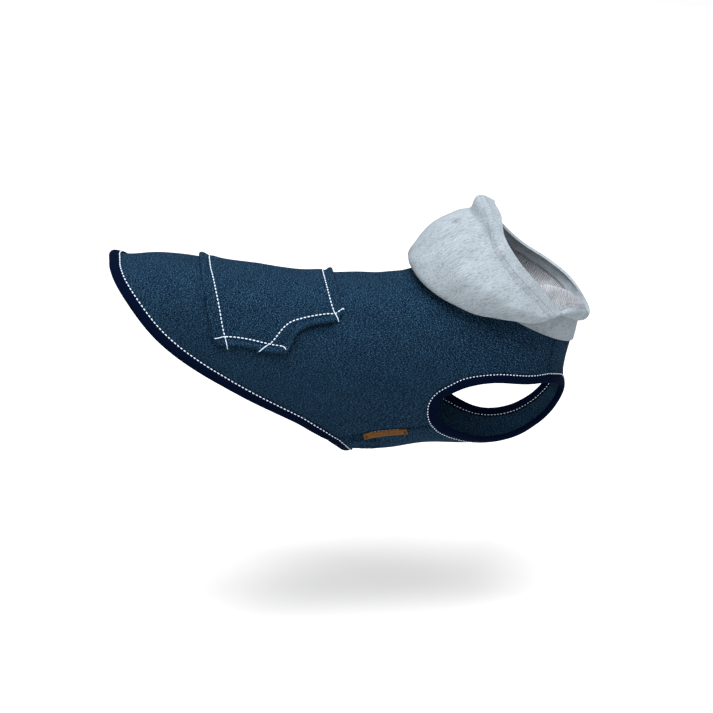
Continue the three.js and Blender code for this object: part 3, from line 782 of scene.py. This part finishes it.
# Armhole bindings: the same folded rib round each foreleg hole, sewn with shorter stitches.
# The two are alike, and each has its own stitching.
for side_name, mirror in [("right", 1), ("left", -1)]:
    edge_at, edge_turn = armhole_loop(240, mirror)
    ring, ring_length, ring_width = bind("armhole_rib_" + side_name, edge_at, edge_turn, -mirror)
    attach(ring, "root")
    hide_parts("armhole_binding_" + side_name)
    ring_rows = rows_on_binding(edge_at, edge_turn, -mirror)
    ring_name = "armhole_stitching_" + side_name
    ring_stitching = sew(ring_name, ring_rows, 0.003, 0.0017, 0.0011, white_thread, closed=True)
    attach(ring_stitching, "root")


# Back pocket: one patch of the same knit over the back, sewn down along its rear, front and lower
# edges and open at two slanted mouths. Its raw edges have rolled outwards past the white stitching.
POCKET = np.array([
    # along, side edge as a round
    [0.0, 0.345], [0.2, 0.34], [0.4, 0.352], [0.5, 0.34], [0.56, 0.28], [0.66, 0.244], [0.8, 0.226],
    [0.93, 0.212], [1.0, 0.185],
])
# Its rear and front edges are torso sections, and the rear one bows back towards its lower ends.
POCKET_REAR = 0.8432
POCKET_FRONT = 0.607
REAR_BOW = 0.018
MOUTH_START = 0.45
# The rolled edge in section, in mm: how far in and how high its outer face is, then its inner one.
CURL = np.array([
    [1.7, 0.45, 2.1, 0.45], [0.9, 0.55, 2.1, 0.6], [0.25, 1.1, 2.2, 0.8], [0.0, 2.0, 2.4, 0.9],
    [0.2, 3.1, 2.8, 0.9], [0.8, 3.9, 3.2, 0.85], [1.8, 4.35, 3.6, 0.75], [3.0, 4.2, 4.2, 0.6],
    [4.2, 3.6, 4.8, 0.5], [5.4, 2.6, 5.6, 0.4], [6.3, 2.0, 6.4, 0.35], [7.0, 1.75, 7.0, 0.3],
    [7.8, 1.95, 7.8, 0.35], [9.5, 2.4, 9.5, 0.5],
])
# How wide the roll is against that section, on the rear, front, side and mouth edges.
ROLL_REAR, ROLL_FRONT, ROLL_SIDE, ROLL_MOUTH = 1.28, 1.3, 0.95, 0.75


def pocket_place(share, q):
    """The torso section and turn of a point of the patch; q runs from edge to edge over the back."""
    side = smooth(POCKET[:, 0], POCKET[:, 1], share)
    along = POCKET_REAR + (POCKET_FRONT - POCKET_REAR) * share - REAR_BOW * q * q * (1 - share)
    return along, q * side * math.pi


# A table of how far each point of the patch is from the back line, to lay its rolled edges by,
# and how much each line's slanted edge widens its roll.
table_share, table_q = np.linspace(0, 1, 80), np.linspace(0, 1, 60)
table = torso(*pocket_place(table_share[:, None], table_q[None, :]))
table_steps = np.linalg.norm(np.diff(table, axis=1), axis=-1)
table_arc = np.concatenate([np.zeros((80, 1)), np.cumsum(table_steps, axis=1)], axis=1)
pocket_run = np.linalg.norm(np.diff(table[:, 0], axis=0), axis=-1).sum()
slant = np.gradient(table_arc[:, -1], table_share * pocket_run)
slant = np.convolve(np.pad(np.clip(np.hypot(1, slant), 1, 1.5), 4, mode="edge"), np.ones(9) / 9, "valid")


def pocket_grid(into):
    """The grid of one face of the patch, whose rim lines are so far in, in mm: its torso sections,
    turns, shares from rear to front, and how far in from the side edge each point is."""
    into = np.asarray(into) / 1000
    rear, front = into * ROLL_REAR / pocket_run, 1 - into * ROLL_FRONT / pocket_run
    lines = np.concatenate([rear, np.linspace(rear[-1], front[-1], 44)[1:-1], front[::-1]])
    q, inside = [], []
    for share in lines:
        arc = np.array([np.interp(share, table_share, column) for column in table_arc.T])
        roll = np.interp(share, [MOUTH_START, 0.58], [ROLL_SIDE, ROLL_MOUTH])
        side = np.interp(arc[-1] - into * (np.interp(share, table_share, slant) * roll), arc, table_q)
        line = np.concatenate([-side, np.linspace(-side[-1], side[-1], 90)[1:-1], side[::-1]])
        q.append(line)
        inside.append(arc[-1] - np.interp(np.abs(line), table_q, arc))
    q = np.array(q)
    share = np.broadcast_to(lines[:, None], q.shape)
    return *pocket_place(share, q), share, np.array(inside)


def pocket_face(into, rise):
    """Where the points of one face of the patch are, how high they stand, and where they lie."""
    at, turn, share, inside = pocket_grid(into)
    i, j = np.meshgrid(np.arange(share.shape[0]), np.arange(share.shape[1]), indexing="ij")
    ring = np.minimum(np.minimum(i, i[::-1]), np.minimum(j, j[:, ::-1]))
    height = np.asarray(rise)[np.minimum(ring, len(CURL) - 1)]
    wander = 1 + 0.16 * np.sin(40 * at + 9 * turn) + 0.1 * np.sin(17 * turn + 90 * at)
    height = np.where(height > 1.8, 1.8 + (height - 1.8) * wander, height)
    away = np.clip((share - MOUTH_START) / 0.1, 0, 1) * np.clip(((1 - share) * pocket_run - 0.005) / 0.01, 0, 1)
    height = height + 1.5 * away * np.exp(-inside / 0.007)
    middle = np.clip((ring - len(CURL)) / 8, 0, 1)
    height = height + 0.35 * middle * np.sin(60 * at + 3.1 * turn) * np.sin(5 * turn - 20 * at)
    return on_cloth(at, turn, height / 1000), height, torso(at, turn)


outer_points, outer_height, laid = pocket_face(CURL[:, 0], CURL[:, 1])
inner_points = pocket_face(CURL[:, 2], CURL[:, 3])[0]
patch = sheet_between("pocket_patch", outer_points, inner_points, flat_lengths(laid), (blue_knit, blue_knit))
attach(patch, "root")
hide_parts("back_pocket")

# The pocket's topstitching runs in four straight rows on each side that cross and go on to the
# raw edges, where the thread ends stick out. Places are torso sections and turns in degrees.
REAR_ROW = [(0.8265, 0), (0.826, 10), (0.821, 26), (0.816, 38), (0.812, 49), (0.808, 57), (0.805, 64)]
LOWER_ROW = [
    (0.824, 57), (0.809, 55.3), (0.793, 54.8), (0.772, 55.3), (0.751, 56.5), (0.739, 57.2), (0.724, 57.7),
    (0.72, 59),
]
MOUTH_ROW = [
    (0.76, 62.8), (0.752, 59.5), (0.742, 56.5), (0.731, 51), (0.72, 45.7), (0.707, 41.6), (0.69, 38.8),
    (0.668, 36.4), (0.644, 34.7), (0.624, 34), (0.612, 32), (0.6, 29.8),
]
FRONT_ROW = [(0.6305, 0), (0.63, 7), (0.629, 18.5), (0.628, 26.4), (0.626, 32), (0.621, 39)]
# Between which of their keys the rows are sewn down on one side or over the back, and which
# stretches are thread ends.
SEWN = [(LOWER_ROW, 1, 6), (MOUTH_ROW, 2, 10)]
SEWN_OVER = [(REAR_ROW, 0, 5), (FRONT_ROW, 0, 4)]
ENDS = [
    (LOWER_ROW, 0, 1), (LOWER_ROW, 6, 7), (MOUTH_ROW, 0, 2), (MOUTH_ROW, 10, 11), (REAR_ROW, 5, 6),
    (FRONT_ROW, 4, 5),
]


def row_on_pocket(row, first, last, mirror):
    """A row of stitching over the patch between two of its keys, as places and outward normals."""
    fine = np.linspace(first, last, 90)
    at = smooth(np.arange(len(row)), [r[0] for r in row], fine)
    turn = np.radians(smooth(np.arange(len(row)), [r[1] for r in row], fine)) * mirror
    gaps = np.linalg.norm(torso(at, turn)[:, None] - laid.reshape(1, -1, 3), axis=-1)
    height = np.where(gaps < 0.0015, outer_height.reshape(1, -1), 0.0).max(axis=1)
    height = np.convolve(np.pad(height, 3, mode="edge"), np.ones(7) / 7, "valid")
    return on_cloth(at, turn, (height + 0.3) / 1000), torso_slopes(at, turn)[2]


sewn, tails = [], []
for mirror in (1, -1):
    sewn += [row_on_pocket(*stretch, mirror) for stretch in SEWN]
    tails += [row_on_pocket(*stretch, mirror) for stretch in ENDS]
for stretch in SEWN_OVER:
    halves = zip(row_on_pocket(*stretch, 1), row_on_pocket(*stretch, -1))
    sewn.append(tuple(np.concatenate([right[::-1], left[1:]]) for right, left in halves))
pocket_stitching = sew("pocket_stitching", sewn, 0.0034, 0.0024, 0.0011, white_thread, seed=4)
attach(pocket_stitching, "root")
thread_ends = sew("pocket_thread_ends", tails, 0.0019, 0.0026, 0.0008, white_thread, seed=4)
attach(thread_ends, "root")


# Hood: one pale grey jersey piece, sewn on by the neck edge and thrown back over the shoulders.
# Its turned hem stands round the neck, and at the throat it rolls outwards.
HOOD_RISE = 0.066
HOOD_CLOTH = 0.0016
# How far its neck edge laps the body, and how far off the body's face it stands there.
HOOD_LAP = 0.005
HOOD_STAND = 0.00075 + HOOD_CLOTH / 2
HOOD = np.array([
    # round, then out and up of the roll, hang, cheek, crown, root of the hem, crest and rim
    [0.0, 1.16, -0.12, 1.52, -0.24, 1.53, 0.2, 1.33, 0.61, 1.17, 0.75, 1.17, 0.96, 0.92, 0.99],
    [0.05, 1.13, -0.11, 1.47, -0.26, 1.48, 0.2, 1.27, 0.6, 1.12, 0.74, 1.1, 0.93, 0.92, 0.97],
    [0.1, 1.03, -0.1, 1.28, -0.27, 1.37, 0.12, 1.2, 0.44, 1.04, 0.62, 1.01, 0.74, 0.93, 0.8],
    [0.167, 0.87, 0.05, 1.1, -0.17, 1.21, 0.14, 1.13, 0.33, 1.0, 0.48, 0.97, 0.56, 0.88, 0.64],
    [0.208, 0.8, 0.33, 1.06, -0.05, 1.15, 0.16, 1.09, 0.29, 0.99, 0.41, 0.95, 0.49, 0.87, 0.57],
    [0.25, 0.77, 0.53, 1.03, 0.06, 1.1, 0.19, 1.06, 0.27, 0.98, 0.36, 0.94, 0.42, 0.86, 0.49],
    [0.285, 0.77, 0.59, 1.0, 0.17, 1.05, 0.23, 1.03, 0.28, 0.99, 0.33, 0.95, 0.37, 0.89, 0.41],
    [0.32, 0.78, 0.6, 0.95, 0.36, 1.0, 0.36, 1.0, 0.35, 0.985, 0.34, 0.96, 0.34, 0.93, 0.35],
    [0.38, 0.82, 0.55, 0.9, 0.5, 0.94, 0.45, 0.97, 0.42, 0.98, 0.385, 0.985, 0.35, 0.98, 0.31],
    [0.44, 0.88, 0.42, 0.92, 0.41, 0.95, 0.4, 0.975, 0.385, 0.99, 0.37, 1.0, 0.35, 1.01, 0.33],
    [0.5, 0.96, 0.15, 0.97, 0.22, 0.98, 0.26, 0.99, 0.29, 1.0, 0.32, 1.02, 0.35, 1.04, 0.38],
    [0.583, 0.9, 0.12, 0.9, 0.21, 0.91, 0.28, 0.92, 0.33, 0.92, 0.4, 0.9, 0.46, 0.87, 0.5],
    [0.667, 0.86, 0.05, 0.97, 0.12, 1.01, 0.22, 0.99, 0.31, 0.95, 0.39, 0.92, 0.45, 0.87, 0.51],
    [0.75, 0.85, 0.0, 1.03, 0.02, 1.1, 0.16, 1.06, 0.27, 0.98, 0.37, 0.94, 0.44, 0.87, 0.52],
    [0.833, 0.88, -0.05, 1.1, -0.17, 1.21, 0.14, 1.13, 0.33, 1.0, 0.48, 0.97, 0.56, 0.88, 0.64],
    [0.9, 1.03, -0.1, 1.28, -0.27, 1.37, 0.12, 1.2, 0.44, 1.04, 0.62, 1.01, 0.74, 0.93, 0.8],
    [0.95, 1.13, -0.11, 1.47, -0.26, 1.48, 0.2, 1.27, 0.6, 1.12, 0.74, 1.1, 0.93, 0.92, 0.97],
])


def neck_frame():
    """The neck edge's centre, the way to the spine, the way up the neck, and half its height."""
    top, under = torso(0.0, 0.0), torso(0.0, math.pi)
    half = np.linalg.norm(top - under) / 2
    spine = (top - under) / half / 2
    return (top + under) / 2, spine, np.cross((0, 1.0, 0), spine), half


def catmull(controls, per_span):
    """A centripetal Catmull-Rom curve through rows of points, sampled evenly along its length."""
    first = 2 * controls[0] - controls[1]
    last = 2 * controls[-1] - controls[-2]
    p = np.concatenate([[first], controls, [last]])
    out = []
    for k in range(1, len(p) - 2):
        a, b, c, d = p[k - 1 : k + 3]
        t = np.cumsum([0] + [max(np.linalg.norm(y - x), 1e-9) ** 0.5 for x, y in ((a, b), (b, c), (c, d))])
        for s in np.linspace(t[1], t[2], per_span, endpoint=False):
            ab = (a * (t[1] - s) + b * (s - t[0])) / (t[1] - t[0])
            bc = (b * (t[2] - s) + c * (s - t[1])) / (t[2] - t[1])
            cd = (c * (t[3] - s) + d * (s - t[2])) / (t[3] - t[2])
            abc = (ab * (t[2] - s) + bc * (s - t[0])) / (t[2] - t[0])
            bcd = (bc * (t[3] - s) + cd * (s - t[1])) / (t[3] - t[1])
            out.append((abc * (t[2] - s) + bcd * (s - t[1])) / (t[2] - t[1]))
    return np.array(out + [controls[-1]])


def even_steps(curve, count):
    """A curve's points again at an even pitch, and its length."""
    run = run_along(curve)
    s = np.linspace(0, run[-1], count)
    return np.stack([np.interp(s, run, curve[:, k]) for k in range(3)], -1), run[-1]


columns, rows = 260, 131
centre, spine, axis, neck_half = neck_frame()
turns = np.arange(columns) / columns * 2 * math.pi
grid, lengths = [], []
for turn in turns:
    values = [float(smooth(HOOD[:, 0], HOOD[:, k], turn / (2 * math.pi), 1.0)) for k in range(1, 15)]
    lap = HOOD_LAP / np.linalg.norm(torso_slopes(0.02, turn)[0])
    controls = [off_torso(lap, turn, HOOD_STAND), off_torso(0.0, turn, HOOD_STAND)]
    for out, up in zip(values[::2], values[1::2]):
        reach = out * neck_half
        sideways = np.array([0, -reach * math.sin(turn), 0])
        controls.append(centre + spine * reach * math.cos(turn) + axis * up * HOOD_RISE + sideways)
    curve, length = even_steps(catmull(np.array(controls), 14), rows)
    grid.append(curve)
    lengths.append(length)
grid = np.stack(grid, axis=1)
lengths = np.array(lengths)
down = np.gradient(grid, axis=0)
next_to = (np.roll(grid, -1, axis=1) - np.roll(grid, 1, axis=1)) / 2
normal = np.cross(next_to, down)
normal /= np.linalg.norm(normal, axis=-1, keepdims=True)

# The worn jersey's soft folds, which die out at both its edges, and the small pucker in its side.
PUCKER_TURN, PUCKER_FROM_RIM, PUCKER_DEPTH = 0.118, 0.047, 0.0055
from_rim = (1 - np.linspace(0, 1, rows)[:, None]) * lengths[None, :]
loose = np.clip(from_rim / 0.012, 0, 1) * np.clip((lengths[None, :] - from_rim - 0.01) / 0.02, 0, 1)
fold = 0.0006 * np.sin(5 * turns[None, :] + 70 * from_rim) * np.sin(90 * from_rim - 3 * turns[None, :])
fold = fold + 0.00025 * np.sin(23 * turns[None, :] + 190 * from_rim + 2 * np.sin(60 * from_rim))
across = (turns[None, :] - PUCKER_TURN + (from_rim - PUCKER_FROM_RIM) * 3.0) * 0.086
pucker = PUCKER_DEPTH * np.exp(-(((from_rim - PUCKER_FROM_RIM) / 0.004) ** 2) - (across / 0.0024) ** 2)
grid = grid + normal * (fold * loose - pucker)[..., None]

# The hem is turned in once, so the wall is thicker there and shows the jersey's face inside.
hem_share = np.clip((0.0135 - from_rim) / 0.0015, 0, 1)
thick = HOOD_CLOTH + 0.0011 * hem_share
flat = np.stack([np.broadcast_to(turns[None, :] * 0.062, from_rim.shape), from_rim], -1)
half_wall = normal * (thick / 2)[..., None]
jersey = knitted("grey marl jersey", "727b82", "8b949b", "9ea5ab", 1000, 0.1, 800, 0.0001, rise=math.radians(27))
# The jersey's reverse has painted shade between its ribs, 0.35 deep.
reverse = knitted("jersey reverse", "969aa0", "acb0b6", "bec2c8", 600, 0.25, 500, 0.0007, painted_rib_shade=0.35)
hood = sheet_between("hood_jersey", grid + half_wall, grid - half_wall, flat, (jersey, reverse), looped=True)
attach(hood, "root")
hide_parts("hood")
turned_in = (from_rim[:-1] + from_rim[1:]) / 2 < 0.0125
sides = np.empty(len(hood.data.polygons), dtype=np.int32)
hood.data.polygons.foreach_get("material_index", sides)
inside = sides[turned_in.size : 2 * turned_in.size]
inside[turned_in.reshape(-1)] = 0
hood.data.polygons.foreach_set("material_index", sides)


def on_hood(from_edge, side):
    """A line round the hood, so far from its rim and on its outer or inner side, with its normals."""
    row = (1 - from_edge / lengths) * (grid.shape[0] - 1)
    low = np.clip(row.astype(int), 0, grid.shape[0] - 2)
    share = (row - low)[:, None]
    k = np.arange(grid.shape[1])
    place = grid[low, k] * (1 - share) + grid[low + 1, k] * share
    wall = thick[low, k]
    return place + normal[low, k] * side * (wall / 2 + 0.0001)[:, None], normal[low, k] * side


# Twin needle stitching holds the hood's turned hem, with its zigzag looper thread inside.
grey_thread = spun_thread("grey thread", "6b6b76", "8d8d99", 0.8, 0.0, 0.1)
hood_rows = [on_hood(from_edge, 1) for from_edge in (0.0095, 0.0145)]
hood_stitching = sew("hood_stitching", hood_rows, 0.0028, 0.002, 0.0006, grey_thread, closed=True, seed=7)
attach(hood_stitching, "root")
near, far = on_hood(0.0115, -1), on_hood(0.0145, -1)
zigzag = np.where((np.arange(columns) % 2 == 0)[:, None], near[0], far[0])
looper = sew("hood_looper", [(zigzag, near[1])], 0.0011, 0.0016, 0.0005, grey_thread, closed=True, seed=8)
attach(looper, "root")


# Side tag: a bare folded strip of brown leathercloth whose long edge is caught in the right seam.
# Its two layers are modelled as one wall, from the caught edge to the fold.
TAG_LENGTH, TAG_CLOTH, TAG_STEPS = 0.0385, 0.0013, 24
tag_middle = 0.576
half = TAG_LENGTH / 2 / np.linalg.norm(torso_slopes(tag_middle, seam_turn(tag_middle))[0])
across = np.array([0.0, 0.0003, 0.0012, 0.0026, 0.0045, 0.0056, 0.0062])
lift = np.array([0.9, 1.6, 1.9, 2.1, 2.0, 1.9, 1.3]) / 1000
steps = np.concatenate([[0, 0.01, 0.03], np.linspace(0.06, 0.94, TAG_STEPS), [0.97, 0.99, 1]])
at = tag_middle + half * (2 * steps[:, None] - 1) + np.zeros((1, len(across)))
turn = seam_turn(at) - 0.01 + across[None, :] / np.linalg.norm(torso_slopes(at, seam_turn(at))[1], axis=-1)
ends_down = np.clip(np.minimum(steps, 1 - steps) / 0.02, 0, 1)[:, None] ** 0.5
height = lift[None, :] * (0.6 + 0.4 * ends_down)
outer_points = on_cloth(at, turn, height)
inner_points = on_cloth(at, turn, height - TAG_CLOTH * (0.4 + 0.6 * ends_down))
brown, nodes, links, shader = finish_nodes("brown leathercloth", 0.6, 0.0, 0.08)
coords = nodes.new("ShaderNodeTexCoord")
grain = add_node(nodes, "TexNoise", {"Scale": 420, "Detail": 4})
links.new(coords.outputs["Object"], grain.inputs["Vector"])
colour_by(grain.outputs["Fac"], "40270f", "6b461d", nodes, links, shader)
raise_by(grain.outputs["Fac"], 0.0002, 0.4, nodes, links, shader)
tag = sheet_between("side_tag", outer_points, inner_points, flat_lengths(outer_points), (brown, brown))
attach(tag, "root")
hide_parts("side_label")

# Small grey stitches show along the tag's caught edge, with a dark bar tack near each of its ends.
seam_steps = at[6:-5, 0]
caught_turn = seam_turn(seam_steps) - 0.018
caught = (on_cloth(seam_steps, caught_turn, 0.0004), torso_slopes(seam_steps, caught_turn)[2])
edge_stitching = sew("tag_edge_stitching", [caught], 0.0034, 0.0021, 0.0006, grey_thread, seed=10)
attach(edge_stitching, "root")
dark_thread = spun_thread("dark brown thread", "1e130b", "35240f", 0.8)
tacks = []
for end in (3, -4):
    along_tag = (outer_points[end + 1, 3] - outer_points[end, 3]) / TAG_LENGTH * TAG_STEPS
    outward = torso_slopes(at[end, 2:5], turn[end, 2:5])[2]
    tacks += [(outer_points[end, 2:5] + along_tag * shift, outward) for shift in (-0.0005, 0.0, 0.0005)]
tag_stitching = sew("tag_tacks", tacks, 0.0021, 0.0015, 0.0006, dark_thread, seed=9)
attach(tag_stitching, "root")

size = {"cad": cad_box, "visual": [list(corner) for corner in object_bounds()]}
